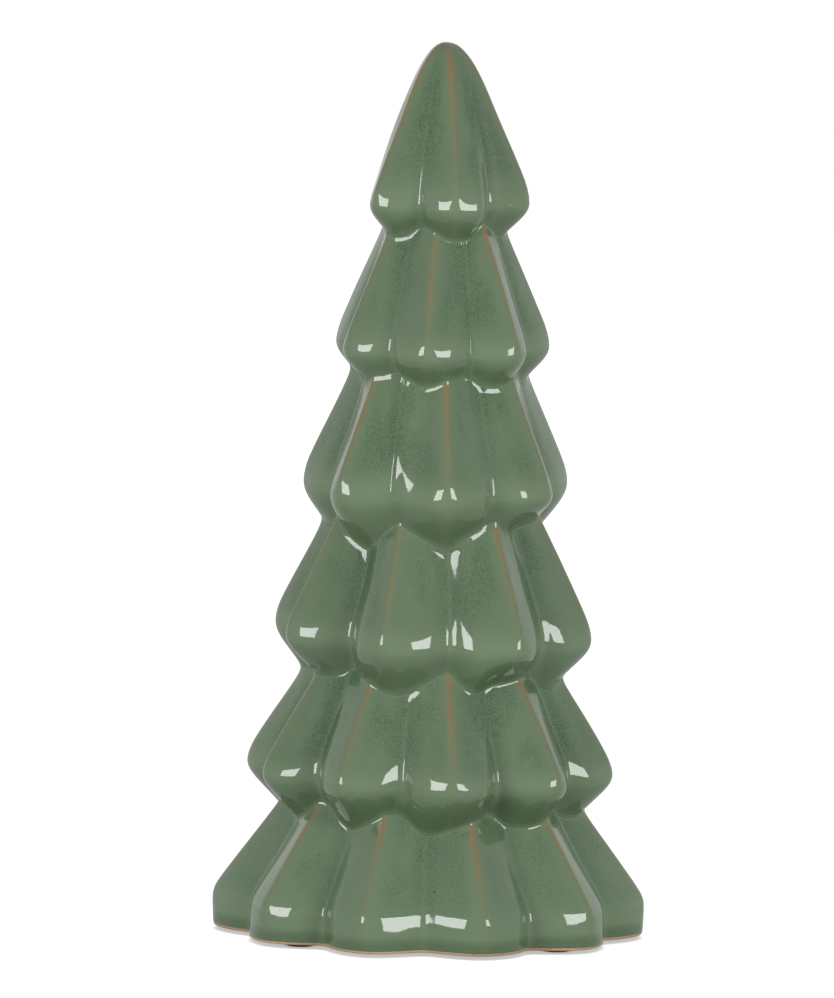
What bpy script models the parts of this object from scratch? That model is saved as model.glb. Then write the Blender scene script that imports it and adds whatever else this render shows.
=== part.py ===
"""Glazed stoneware Christmas tree, a hollow slip-cast figure of six fluted tiers.

Units are metres, +Z is up and the origin is on the floor, under the middle of the foot.
The side that faces the viewer looks along -Y. Azimuths are degrees from there towards +X.
"""

import math
from typing import NamedTuple

import bmesh
import bpy

# Driving dimensions of the figure, with heights measured from the clay foot
TREE_HEIGHT = 0.300
NOSE_RADIUS = 0.00425
GLAZE_THICKNESS = 0.0008
CLAY_WALL = 0.0055
BASE_THICKNESS = 0.005
GLAZE_LINE_HEIGHT = 0.0012
FOOT_RECESS_DEPTH = 0.002
FOOT_RING_WIDTH = 0.012
POUR_HOLE_DIAMETER = 0.024
RIDGE_ROUNDING = 0.0012
RIM_RIDGE_ROUNDING = 0.0075
RIDGE_MELT_REACH = 0.009
GROOVE_ROUNDING = 0.0020

# Felt pads under the foot
PAD_COUNT = 4
PAD_DIAMETER = 0.009
PAD_THICKNESS = 0.001
PAD_EDGE_ROUNDING = 0.0002

# Space between pieces that touch on the real figure
SEAT_GAP = 0.0003

# Shape of the lobes' faces: how the belly and the crest of each lobe change on the way down a tier
BELLY_START_SHARE = 0.12
BELLY_GROWTH = 1.5
BELLY_SKEW = 2.0
CREST_LIFT_SHARE = 0.6
FAN_RADIUS = 1.0
PAD_START_SHARE = 0.5

# Fineness of the faceted skins
SKIN_COLUMNS = 60
HOLLOW_SEGMENTS = 32
HOLLOW_ROWS = 28
PAD_SEGMENTS = 24
AZIMUTH_SAMPLES = 72
HOLLOW_ROW_SPREAD = 1.15
CREASE_HALVINGS = 40
SKIN_SHARP_ANGLE = 50.0
PAD_SHARP_ANGLE = 30.0

# Each row is how far down a stretch of the skin a ring of points lies, from 0 to 1
NOSE_ROWS = (0.004, 0.016, 0.045, 0.10, 0.20, 0.38, 0.60, 0.82)
FACE_ROWS = (0.30, 0.62, 0.86)
UNDERSIDE_ROWS = (0.45,)


class Tier(NamedTuple):
    """One storey of branches: a ring of lobes, each with one ridge and a groove on either side."""

    tip_radius: float
    tip_height: float
    flare: float
    undercut: float
    rounding: float
    groove_radius: float
    groove_lift: float
    groove_flare: float
    dip: float
    belly: float
    ridges: tuple


def even_ridges(count, first):
    """Azimuths of evenly spaced ridges, the first of them given."""
    return tuple(first + 360.0 * number / count for number in range(count))


TIERS = (
    Tier(0.0304, 0.2449, 0.42, 1.10, 0.0027, 0.0213, 0.0030, 0.30, 0.0000, 0.0032, even_ridges(5, 9.0)),
    Tier(0.0375, 0.1957, 0.47, 1.10, 0.0030, 0.0291, 0.0030, 0.36, 0.0000, 0.0020, even_ridges(7, -7.5)),
    Tier(0.0461, 0.1484, 0.49, 1.00, 0.0040, 0.0364, 0.0030, 0.38, -0.0004, 0.0021, even_ridges(7, 4.9)),
    Tier(0.0549, 0.0992, 0.53, 1.00, 0.0040, 0.0434, 0.0030, 0.41, 0.0008, 0.0023,
         (-100.0, -66.0, -19.0, 33.0, 82.0, 125.5, 169.0, 212.5)),
    Tier(0.0631, 0.0534, 0.68, 1.00, 0.0040, 0.0504, 0.0030, 0.54, 0.0000, 0.0024,
         (-96.0, -64.0, -29.0, 7.0, 43.0, 80.0, 117.0, 154.0, 191.0, 228.0)),
    Tier(0.0738, 0.0070, 0.70, 0.90, 0.0045, 0.0664, -0.0060, 0.66, 0.0000, 0.0017,
         (-84.0, -50.0, -17.5, 15.5, 48.5, 82.0, 115.0, 148.0, 181.0, 213.5, 245.0)),
)

# Values worked out from the driving dimensions
CROWN = TIERS[0]
SKIRT = TIERS[-1]
TIER_TOPS = {lower.tip_height: upper.tip_height for upper, lower in zip(TIERS, TIERS[1:])}
TIER_TOPS[CROWN.tip_height] = TREE_HEIGHT
FOOT_HEIGHT = PAD_THICKNESS + SEAT_GAP
CLAY_DEPTH = GLAZE_THICKNESS + SEAT_GAP
NOSE_GROOVE_SHARE = 0.86
NOSE_FADE_START = 0.020
NOSE_FADE_LENGTH = 0.034
GROOVE_UNDERCUT_SHARE = 0.8
TINY = 1e-6


def smooth_min(first, second, radius):
    """The lesser of two lengths, with the corner between them rounded off."""
    return (first + second) / 2.0 - math.hypot((first - second) / 2.0, radius)


def ease(share):
    """A share held between 0 and 1 that starts and ends gently."""
    held = min(max(share, 0.0), 1.0)
    return held * held * (3.0 - 2.0 * held)


def rim_profile(height, tip_radius, tip_height, flare, undercut, rounding):
    """Radius of a tier at a height: a cone above, an undercut below and a round rim between."""
    spread = (flare + undercut) / 2.0
    skew = (undercut - flare) / 2.0
    steepness = math.sqrt(flare * undercut)
    corner_radius = tip_radius + rounding * steepness / spread
    corner_height = tip_height - skew * rounding / (spread * steepness)
    above = height - corner_height
    return smooth_min(corner_radius - flare * above, corner_radius + undercut * above, rounding)


def nose_profile(height, tier):
    """Radius of the top tier at a height: a rounded point that opens into a cone."""
    depth = max(TREE_HEIGHT - height, 0.0)
    return math.sqrt(2.0 * NOSE_RADIUS * depth + (tier.flare * depth) ** 2)


def tip_height_at(tier, azimuth):
    """Height of a tier's rim, which dips on one side."""
    return tier.tip_height - tier.dip * math.sin(math.radians(azimuth))


def ridge_and_groove(tier, azimuth, height):
    """Radii of a tier's ridges and of its grooves at a height."""
    tip_height = tip_height_at(tier, azimuth)
    groove_tip = tip_height + tier.groove_lift
    groove_undercut = tier.undercut * GROOVE_UNDERCUT_SHARE
    groove_rounding = tier.rounding * GROOVE_UNDERCUT_SHARE
    if tier is not CROWN:
        ridge = rim_profile(height, tier.tip_radius, tip_height, tier.flare, tier.undercut, tier.rounding)
        groove = rim_profile(height, tier.groove_radius, groove_tip, tier.groove_flare,
                             groove_undercut, groove_rounding)
    else:
        nose = nose_profile(height, tier)
        fade = min(max((TREE_HEIGHT - height - NOSE_FADE_START) / NOSE_FADE_LENGTH, 0.0), 1.0)
        rim_share = tier.groove_radius / tier.tip_radius
        share = NOSE_GROOVE_SHARE + (rim_share - NOSE_GROOVE_SHARE) * fade * fade * (3.0 - 2.0 * fade)
        under = tier.tip_radius + tier.undercut * (height - tip_height + tier.rounding)
        ridge = smooth_min(nose, under, min(tier.rounding, nose / 2.0))
        groove_under = tier.groove_radius + groove_undercut * (height - groove_tip + tier.rounding)
        groove = smooth_min(nose * share, groove_under, min(groove_rounding, nose * share / 2.0))
    ridge = max(ridge, TINY)
    return ridge, min(max(groove, TINY), ridge)


def grooves_of(ridges):
    """Sorted ridge azimuths from 0 to 360 degrees, and the groove that follows each of them."""
    ordered = sorted(ridge % 360.0 for ridge in ridges)
    following = ordered[1:] + [ordered[0] + 360.0]
    return ordered, [(ridge + after) / 2.0 for ridge, after in zip(ordered, following)]


def place_in_lobe(tier, azimuth):
    """Angle from the nearest ridge, and the angle from that ridge to its groove, in degrees."""
    ordered, grooves = grooves_of(tier.ridges)
    turned = azimuth % 360.0
    if turned < ordered[0]:
        turned += 360.0
    number = max(index for index, ridge in enumerate(ordered) if ridge <= turned + TINY)
    groove = grooves[number]
    after = ordered[number + 1] if number + 1 < len(ordered) else ordered[0] + 360.0
    if turned <= groove:
        return turned - ordered[number], groove - ordered[number]
    return after - turned, after - groove


def belly_at(tier, ridge, height):
    """How far a lobe's faces bulge at a height, where the tier's ridges have a given radius."""
    top = TIER_TOPS[tier.tip_height]
    share = min(max((top - height) / (top - tier.tip_height), 0.0), 1.0)
    grown = BELLY_START_SHARE + (1.0 - BELLY_START_SHARE) * share ** BELLY_GROWTH
    return tier.belly * grown * ridge / tier.tip_radius


def face_radius(ridge, groove, angle, full, belly):
    """Radius of a bellied face at an angle from its ridge, where full is the angle to its groove."""
    across = ridge * math.sin(angle) + groove * math.sin(full - angle)
    share = angle / full
    bulge = 4.0 * share * (1.0 - share ** BELLY_SKEW) / math.sqrt(BELLY_SKEW)
    return ridge * groove * math.sin(full) / across + bulge * belly


def tier_radius(tier, azimuth, height):
    """Radius of one tier: each lobe is two bellied faces that meet in a ridge, rounder at the rim."""
    ridge, groove = ridge_and_groove(tier, azimuth, height)
    offset, half_lobe = place_in_lobe(tier, azimuth)
    full = math.radians(half_lobe)
    melted = ease((tier.tip_height + RIDGE_MELT_REACH - height) / (2.0 * RIDGE_MELT_REACH))
    rounding = RIDGE_ROUNDING + (RIM_RIDGE_ROUNDING - RIDGE_ROUNDING) * melted
    crest = min(rounding / tier.tip_radius, full / 2.0)
    angle = math.hypot(math.radians(offset), crest)
    angle = full - math.hypot(max(full - angle, 0.0), GROOVE_ROUNDING / tier.tip_radius)
    angle = min(max(angle, 0.0), full)
    belly = belly_at(tier, ridge, height)
    lift = CREST_LIFT_SHARE * (ridge / face_radius(ridge, groove, crest, full, belly) - 1.0)
    share = (full - angle) / (full - crest)
    return face_radius(ridge, groove, angle, full, belly) * (1.0 + lift * share)


def crease_height(upper, lower, azimuth):
    """Height at which the underside of a tier meets the faces of the tier below it."""
    high = tip_height_at(upper, azimuth)
    low = tip_height_at(lower, azimuth)
    for _ in range(CREASE_HALVINGS):
        middle = (high + low) / 2.0
        if tier_radius(upper, azimuth, middle) > tier_radius(lower, azimuth, middle):
            high = middle
        else:
            low = middle
    return (high + low) / 2.0


def figure_radius(azimuth, height):
    """Radius of the whole figure: the tier that stands out furthest."""
    return max(tier_radius(tier, azimuth, height) for tier in TIERS)


def column_azimuths(tier):
    """Azimuths of the skin's columns on one tier, with a column on each ridge and groove."""
    pitch = 360.0 / SKIN_COLUMNS
    ordered, grooves = grooves_of(tier.ridges)
    pinned = {}
    for azimuth in ordered + grooves:
        turned = azimuth % 360.0
        column = round(turned / pitch)
        shift = 360.0 if column == SKIN_COLUMNS else 0.0
        pinned[column % SKIN_COLUMNS] = turned - shift
    columns = sorted(pinned)
    azimuths = [0.0] * SKIN_COLUMNS
    for index, column in enumerate(columns):
        last = index + 1 == len(columns)
        next_column = columns[0] + SKIN_COLUMNS if last else columns[index + 1]
        next_azimuth = pinned[columns[0]] + 360.0 if last else pinned[columns[index + 1]]
        for step in range(next_column - column):
            share = step / (next_column - column)
            azimuths[(column + step) % SKIN_COLUMNS] = (
                pinned[column] + share * (next_azimuth - pinned[column]))
    return azimuths


def skin_point(tier, azimuth, height):
    """Point of the figure's outside on a tier."""
    radius = tier_radius(tier, azimuth, height)
    angle = math.radians(azimuth)
    return radius * math.sin(angle), -radius * math.cos(angle), height + FOOT_HEIGHT


def stretch(columns, tier, starts, ends, shares):
    """Rings of points part of the way down from one height to another, in each column."""
    rings = []
    for share in shares:
        rings.append([skin_point(tier, azimuth, start + share * (end - start))
                      for azimuth, start, end in zip(columns, starts, ends)])
    return rings


def skin_rings(reaches_foot):
    """All rings of the figure's outside, from under the point of the nose to the glaze line or the foot."""
    rings = []
    tops = [TREE_HEIGHT] * SKIN_COLUMNS
    for number, tier in enumerate(TIERS):
        columns = column_azimuths(tier)
        tips = [tip_height_at(tier, azimuth) for azimuth in columns]
        face_rows = NOSE_ROWS if tier is CROWN else FACE_ROWS
        rings += stretch(columns, tier, tops, tips, face_rows + (1.0,))
        if tier is SKIRT:
            line = [GLAZE_LINE_HEIGHT] * SKIN_COLUMNS
            rings += stretch(columns, tier, tips, line, UNDERSIDE_ROWS + (1.0,))
            if reaches_foot:
                rings += stretch(columns, tier, line, [0.0] * SKIN_COLUMNS, (1.0,))
            return rings
        below = TIERS[number + 1]
        lows = [crease_height(tier, below, azimuth) for azimuth in columns]
        rings += stretch(columns, tier, tips, lows, UNDERSIDE_ROWS)
        columns = column_azimuths(below)
        tops = [crease_height(tier, below, azimuth) for azimuth in columns]
        rings += stretch(columns, below, tops, tops, (0.0,))
    return rings


def figure_skin(reaches_foot):
    """Open skin of the figure's outside: a fan at the point, extruded down ring by ring."""
    skin = bmesh.new()
    column_of = skin.verts.layers.int.new("column")
    bmesh.ops.create_circle(skin, cap_ends=True, cap_tris=True, segments=SKIN_COLUMNS,
                            radius=FAN_RADIUS)
    rings = skin_rings(reaches_foot)
    for vert in skin.verts:
        if vert.co.length < FAN_RADIUS / 2.0:
            vert.co = (0.0, 0.0, TREE_HEIGHT + FOOT_HEIGHT)
            vert[column_of] = -1
        else:
            azimuth = math.degrees(math.atan2(vert.co.x, -vert.co.y)) % 360.0
            vert[column_of] = round(azimuth * SKIN_COLUMNS / 360.0) % SKIN_COLUMNS
            vert.co = rings[0][vert[column_of]]
    for ring in rings[1:]:
        border = [edge for edge in skin.edges if edge.is_boundary]
        grown = bmesh.ops.extrude_edge_only(skin, edges=border)["geom"]
        for vert in (item for item in grown if isinstance(item, bmesh.types.BMVert)):
            vert.co = ring[vert[column_of]]
    bmesh.ops.triangulate(skin, faces=skin.faces[:])
    bmesh.ops.recalc_face_normals(skin, faces=skin.faces[:])
    skin.normal_update()
    return skin


def sink_skin(verts, depth):
    """Move points of a skin inwards by a depth, square to its faces."""
    shifts = [(vert, vert.normal * vert.calc_shell_factor() * depth) for vert in verts]
    for vert, shift in shifts:
        vert.co -= shift


def level_border(verts, height):
    """Bring the open edge among some points of a skin back to one height above the foot."""
    for vert in verts:
        if vert.is_boundary:
            vert.co.z = height + FOOT_HEIGHT


def plain_material(name, color, roughness):
    """Plain material with a colour and a roughness."""
    material = bpy.data.materials.new(name)
    material.use_nodes = True
    shader = material.node_tree.nodes["Principled BSDF"]
    shader.inputs["Base Color"].default_value = (*color, 1.0)
    shader.inputs["Roughness"].default_value = roughness
    shader.inputs["Metallic"].default_value = 0.0
    return material


def finished_object(name, shape, material, sharp_angle):
    """Make an object of a bmesh, shade it smooth and give it its material."""
    mesh = bpy.data.meshes.new(name)
    shape.to_mesh(mesh)
    shape.free()
    mesh.shade_smooth()
    mesh.set_sharp_from_angle(angle=math.radians(sharp_angle))
    mesh.materials.append(material)
    item = bpy.data.objects.new(name, mesh)
    bpy.context.scene.collection.objects.link(item)
    return item


def narrowest_radius(height):
    """Least radius of the figure's outside at a height."""
    return min(figure_radius(360.0 * step / AZIMUTH_SAMPLES, height) for step in range(AZIMUTH_SAMPLES))


def hollow_profile(recess_radius):
    """Outline of the space in and under the clay, from its top on the axis down past the foot."""
    floor = FOOT_RECESS_DEPTH + BASE_THICKNESS
    peak = TREE_HEIGHT - CLAY_DEPTH - 2.0 * CLAY_WALL
    points = [(0.0, peak)]
    for row in range(1, HOLLOW_ROWS + 1):
        height = peak + (floor - peak) * (row / HOLLOW_ROWS) ** HOLLOW_ROW_SPREAD
        nearest = narrowest_radius(height)
        dome = math.sqrt(2.0 * CLAY_WALL * (peak - height)) + TINY
        points.append((min(dome, nearest - CLAY_DEPTH - CLAY_WALL), height))
    hole_radius = POUR_HOLE_DIAMETER / 2.0
    points += [(hole_radius, floor), (hole_radius, FOOT_RECESS_DEPTH), (recess_radius, FOOT_RECESS_DEPTH)]
    points += [(recess_radius, -FOOT_RECESS_DEPTH), (0.0, -FOOT_RECESS_DEPTH)]
    return points


def make_hollow_cutter(recess_radius):
    """Turned solid that is cut out of the clay: the hollow, the pour hole and the recess under the foot."""
    shape = bmesh.new()
    verts = [shape.verts.new((radius, 0.0, height + FOOT_HEIGHT))
             for radius, height in hollow_profile(recess_radius)]
    edges = [shape.edges.new(pair) for pair in zip(verts, verts[1:])]
    bmesh.ops.spin(shape, geom=verts + edges, cent=(0.0, 0.0, 0.0), axis=(0.0, 0.0, 1.0),
                   angle=2.0 * math.pi, steps=HOLLOW_SEGMENTS, use_merge=True)
    bmesh.ops.remove_doubles(shape, verts=shape.verts[:], dist=TINY)
    bmesh.ops.recalc_face_normals(shape, faces=shape.faces[:])
    mesh = bpy.data.meshes.new("hollow_cutter")
    shape.to_mesh(mesh)
    shape.free()
    cutter = bpy.data.objects.new("hollow_cutter", mesh)
    cutter.hide_render = True
    cutter.display_type = "WIRE"
    bpy.context.scene.collection.objects.link(cutter)
    return cutter


def make_clay_body(material, recess_radius):
    """Hollow casting: the fluted figure with its foot ring, base and pour hole."""
    shape = figure_skin(reaches_foot=True)
    sink_skin(shape.verts, CLAY_DEPTH)
    level_border(shape.verts, 0.0)
    bmesh.ops.holes_fill(shape, edges=[edge for edge in shape.edges if edge.is_boundary], sides=0)
    bmesh.ops.recalc_face_normals(shape, faces=shape.faces[:])
    body = finished_object("clay_body", shape, material, SKIN_SHARP_ANGLE)
    cut = body.modifiers.new("hollow", "BOOLEAN")
    cut.operation = "DIFFERENCE"
    cut.solver = "EXACT"
    cut.object = make_hollow_cutter(recess_radius)
    return body


def make_glaze_coat(material):
    """Fused glass skin over the clay, from the point of the nose to the line above the foot."""
    shape = figure_skin(reaches_foot=False)
    copied = bmesh.ops.duplicate(shape, geom=shape.verts[:] + shape.edges[:] + shape.faces[:])["geom"]
    inner_verts = [item for item in copied if isinstance(item, bmesh.types.BMVert)]
    inner_faces = [item for item in copied if isinstance(item, bmesh.types.BMFace)]
    sink_skin(inner_verts, GLAZE_THICKNESS)
    bmesh.ops.reverse_faces(shape, faces=inner_faces)
    level_border(inner_verts, GLAZE_LINE_HEIGHT)
    bmesh.ops.bridge_loops(shape, edges=[edge for edge in shape.edges if edge.is_boundary])
    return finished_object("glaze_coat", shape, material, SKIN_SHARP_ANGLE)


def make_felt_pads(material, circle_radius):
    """Round felt pads stuck under the foot ring."""
    for number in range(PAD_COUNT):
        shape = bmesh.new()
        bmesh.ops.create_cone(shape, cap_ends=True, cap_tris=False, segments=PAD_SEGMENTS,
                              radius1=PAD_DIAMETER / 2.0, radius2=PAD_DIAMETER / 2.0, depth=PAD_THICKNESS)
        top = [edge for edge in shape.edges if min(vert.co.z for vert in edge.verts) > 0.0]
        bmesh.ops.bevel(shape, geom=top, offset=PAD_EDGE_ROUNDING, segments=1, profile=0.5,
                        affect="EDGES", material=-1)
        pad = finished_object(f"felt_pad_{number + 1}", shape, material, PAD_SHARP_ANGLE)
        angle = 2.0 * math.pi * (number + PAD_START_SHARE) / PAD_COUNT
        across = circle_radius * math.sin(angle)
        pad.location = (across, -circle_radius * math.cos(angle), PAD_THICKNESS / 2.0)


def build_figure():
    """Clear the scene and model every piece of the figure."""
    for item in list(bpy.data.objects):
        bpy.data.objects.remove(item, do_unlink=True)
    clay = plain_material("bare stoneware", (0.40, 0.30, 0.20), 0.85)
    glaze = plain_material("green glaze", (0.14, 0.20, 0.13), 0.10)
    felt = plain_material("felt", (0.05, 0.05, 0.04), 0.95)
    foot_radius = narrowest_radius(0.0) - CLAY_DEPTH
    make_clay_body(clay, foot_radius - FOOT_RING_WIDTH)
    make_glaze_coat(glaze)
    make_felt_pads(felt, foot_radius - FOOT_RING_WIDTH / 2.0)


build_figure()
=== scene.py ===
"""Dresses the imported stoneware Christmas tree: fluted glaze coat, clay casting, felt pads and studio.

Lengths are metres and azimuths are degrees from the side that faces the camera (-Y) towards +X.
Heights of the figure are measured from its clay foot, as the tiers' sizes are.
"""

from __future__ import annotations

import bisect
import logging
import math
from dataclasses import dataclass, field, fields
from enum import Enum
from typing import Callable, Iterable, Optional, Union

import bmesh
import bpy
from mathutils import Matrix, Vector, noise

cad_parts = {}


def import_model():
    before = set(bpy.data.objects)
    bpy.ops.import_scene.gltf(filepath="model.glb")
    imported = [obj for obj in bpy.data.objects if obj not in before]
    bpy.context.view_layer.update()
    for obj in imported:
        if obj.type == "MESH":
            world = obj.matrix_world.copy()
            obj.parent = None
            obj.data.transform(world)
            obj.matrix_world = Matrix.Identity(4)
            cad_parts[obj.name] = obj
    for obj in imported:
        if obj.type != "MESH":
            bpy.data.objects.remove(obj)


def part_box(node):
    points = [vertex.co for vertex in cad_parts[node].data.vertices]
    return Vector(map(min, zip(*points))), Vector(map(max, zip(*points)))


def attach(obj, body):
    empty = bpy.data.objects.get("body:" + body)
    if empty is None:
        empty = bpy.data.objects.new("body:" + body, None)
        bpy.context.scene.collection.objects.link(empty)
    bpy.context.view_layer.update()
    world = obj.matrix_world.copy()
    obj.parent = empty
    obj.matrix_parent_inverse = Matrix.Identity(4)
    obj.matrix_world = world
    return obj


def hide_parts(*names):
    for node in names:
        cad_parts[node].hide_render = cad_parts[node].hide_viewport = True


LOG = logging.getLogger("stoneware_tree")
FULL_TURN = 360.0
# How far the glaze's tip slumped below the top of its box
TIP_SINK = 0.0022
TINY = 1e-6
# Level about which a noise texture varies
NOISE_MIDDLE = 0.5

Band = tuple[float, float]
Colour = tuple[float, float, float]
Point = tuple[float, float, float]
Move = Callable[[Point], Point]


class Slot(Enum):
    """Material slots of the record that the pieces take their finish from."""

    GLAZE = "green_glaze"
    CLAY = "bare_stoneware"
    FELT = "felt"


class Mark(Enum):
    """Point attributes of the glaze that its finish reads."""

    RIDGE = "ridge"
    GROOVE = "groove"
    RISE = "rise"


def smooth_min(first: float, second: float, radius: float) -> float:
    """The lesser of two lengths, with the corner between them rounded off."""
    return (first + second) / 2.0 - math.hypot((first - second) / 2.0, radius)


def smooth_max(first: float, second: float, radius: float) -> float:
    """The greater of two lengths, with the corner between them filled in."""
    return (first + second) / 2.0 + math.hypot((first - second) / 2.0, radius)


def ease(share: float) -> float:
    """A share from 0 to 1 that starts and ends gently."""
    held = min(max(share, 0.0), 1.0)
    return held * held * (3.0 - 2.0 * held)


def turn_between(first: float, second: float) -> float:
    """Turn in degrees that leads the short way from one azimuth to another."""
    return (second - first + FULL_TURN / 2.0) % FULL_TURN - FULL_TURN / 2.0


def parts(count: int) -> list[float]:
    """Even shares of a whole, up to and with the whole itself."""
    return [step / count for step in range(1, count + 1)]


def between(starts: list[float], ends: list[float], share: float) -> list[float]:
    """Values part of the way from those of one list to those of another."""
    return [start + share * (end - start) for start, end in zip(starts, ends)]


def even_ridges(count: int, first: float) -> tuple[float, ...]:
    """Azimuths of evenly spaced ridges, the first of them given."""
    return tuple(first + FULL_TURN * number / count for number in range(count))


@dataclass(frozen=True)
class Change:
    """How a lobe or a groove differs from its tier's other ones.

    Attributes:
        shallower: How far the groove comes out.
        rounder: How much larger the rounding of the rim is.
        fuller: How much further the faces bulge.
        filled: How far pooled glaze lifts the groove's floor.
        creased: Depth of a fine crease along the groove.
        tucked: How much faster the underside narrows, as a slope.
    """

    shallower: float = 0.0
    rounder: float = 0.0
    fuller: float = 0.0
    filled: float = 0.0
    creased: float = 0.0
    tucked: float = 0.0


PLAIN = Change()
CHANGES = tuple(part.name for part in fields(Change))


@dataclass(frozen=True, kw_only=True)
class Fold(Change):
    """A change about one azimuth of a hand-finished tier, which may carry a groove there."""

    azimuth: float
    reach: float
    carries_groove: bool = False

    def share(self, azimuth: float) -> float:
        """How much of the fold an azimuth feels, from 0 to 1."""
        return ease(1.0 - abs(turn_between(self.azimuth, azimuth)) / self.reach)


@dataclass(frozen=True, kw_only=True)
class Tier:
    """One storey of branches: a ring of lobes, each with one ridge and a groove on either side.

    Attributes:
        rim_radius: Greatest radius of the ridges, which they reach at the rim.
        rim_height: Height of the rim.
        flare: How fast the ridges widen on the way down.
        undercut: How fast the underside narrows on the way down.
        rounding: Size of the round rim between the two.
        groove_radius: Greatest radius of the grooves.
        groove_lift: How far above the rim the grooves reach theirs.
        groove_flare: How fast the grooves widen on the way down.
        belly: How far the faces bulge at the rim.
        dip: How far the rim dips towards +X.
        band: Height of a nearly upright band above the rim.
        ridges: Azimuths of the ridges.
        folds: Places where the tier differs.
    """

    rim_radius: float
    rim_height: float
    flare: float
    undercut: float
    rounding: float
    groove_radius: float
    groove_lift: float
    groove_flare: float
    belly: float
    ridges: tuple[float, ...]
    dip: float = 0.0
    band: float = 0.0
    folds: tuple[Fold, ...] = ()
    ordered: tuple[float, ...] = field(init=False)
    grooves: tuple[float, ...] = field(init=False)

    def __post_init__(self) -> None:
        """Sort the ridges round the turn and place a groove after each of them."""
        ordered = sorted(ridge % FULL_TURN for ridge in self.ridges)
        following = ordered[1:] + [ordered[0] + FULL_TURN]
        grooves = [(ridge + after) / 2.0 for ridge, after in zip(ordered, following)]
        for fold in (fold for fold in self.folds if fold.carries_groove):
            turns = [turn_between(groove, fold.azimuth) for groove in grooves]
            near = min(range(len(turns)), key=lambda index: abs(turns[index]))
            grooves[near] += turns[near]
        object.__setattr__(self, "ordered", tuple(ordered))
        object.__setattr__(self, "grooves", tuple(grooves))

    def change_at(self, azimuth: float) -> Change:
        """Add up what the tier's folds change at an azimuth.

        Args:
            azimuth: The azimuth in degrees.

        Returns:
            The whole change there.
        """
        felt = [(fold, fold.share(azimuth)) for fold in self.folds]
        felt = [(fold, share) for fold, share in felt if share > 0.0]
        if not felt:
            return PLAIN
        return Change(*(sum(getattr(fold, name) * share for fold, share in felt) for name in CHANGES))

    def rim_height_at(self, azimuth: float) -> float:
        """Height of the rim, which dips on one side."""
        return self.rim_height - self.dip * math.sin(math.radians(azimuth))

    def place_in_lobe(self, azimuth: float) -> tuple[float, float]:
        """Find where an azimuth lies in its lobe.

        Args:
            azimuth: The azimuth in degrees.

        Returns:
            The angle from the nearest ridge, and the angle from that ridge to its groove.
        """
        turned = azimuth % FULL_TURN
        if turned < self.ordered[0]:
            turned += FULL_TURN
        number = bisect.bisect_right(self.ordered, turned) - 1
        ridge = self.ordered[number]
        groove = self.grooves[number]
        if turned <= groove:
            return turned - ridge, groove - ridge
        last = number + 1 == len(self.ordered)
        following = self.ordered[0] + FULL_TURN if last else self.ordered[number + 1]
        return following - turned, following - groove


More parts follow.
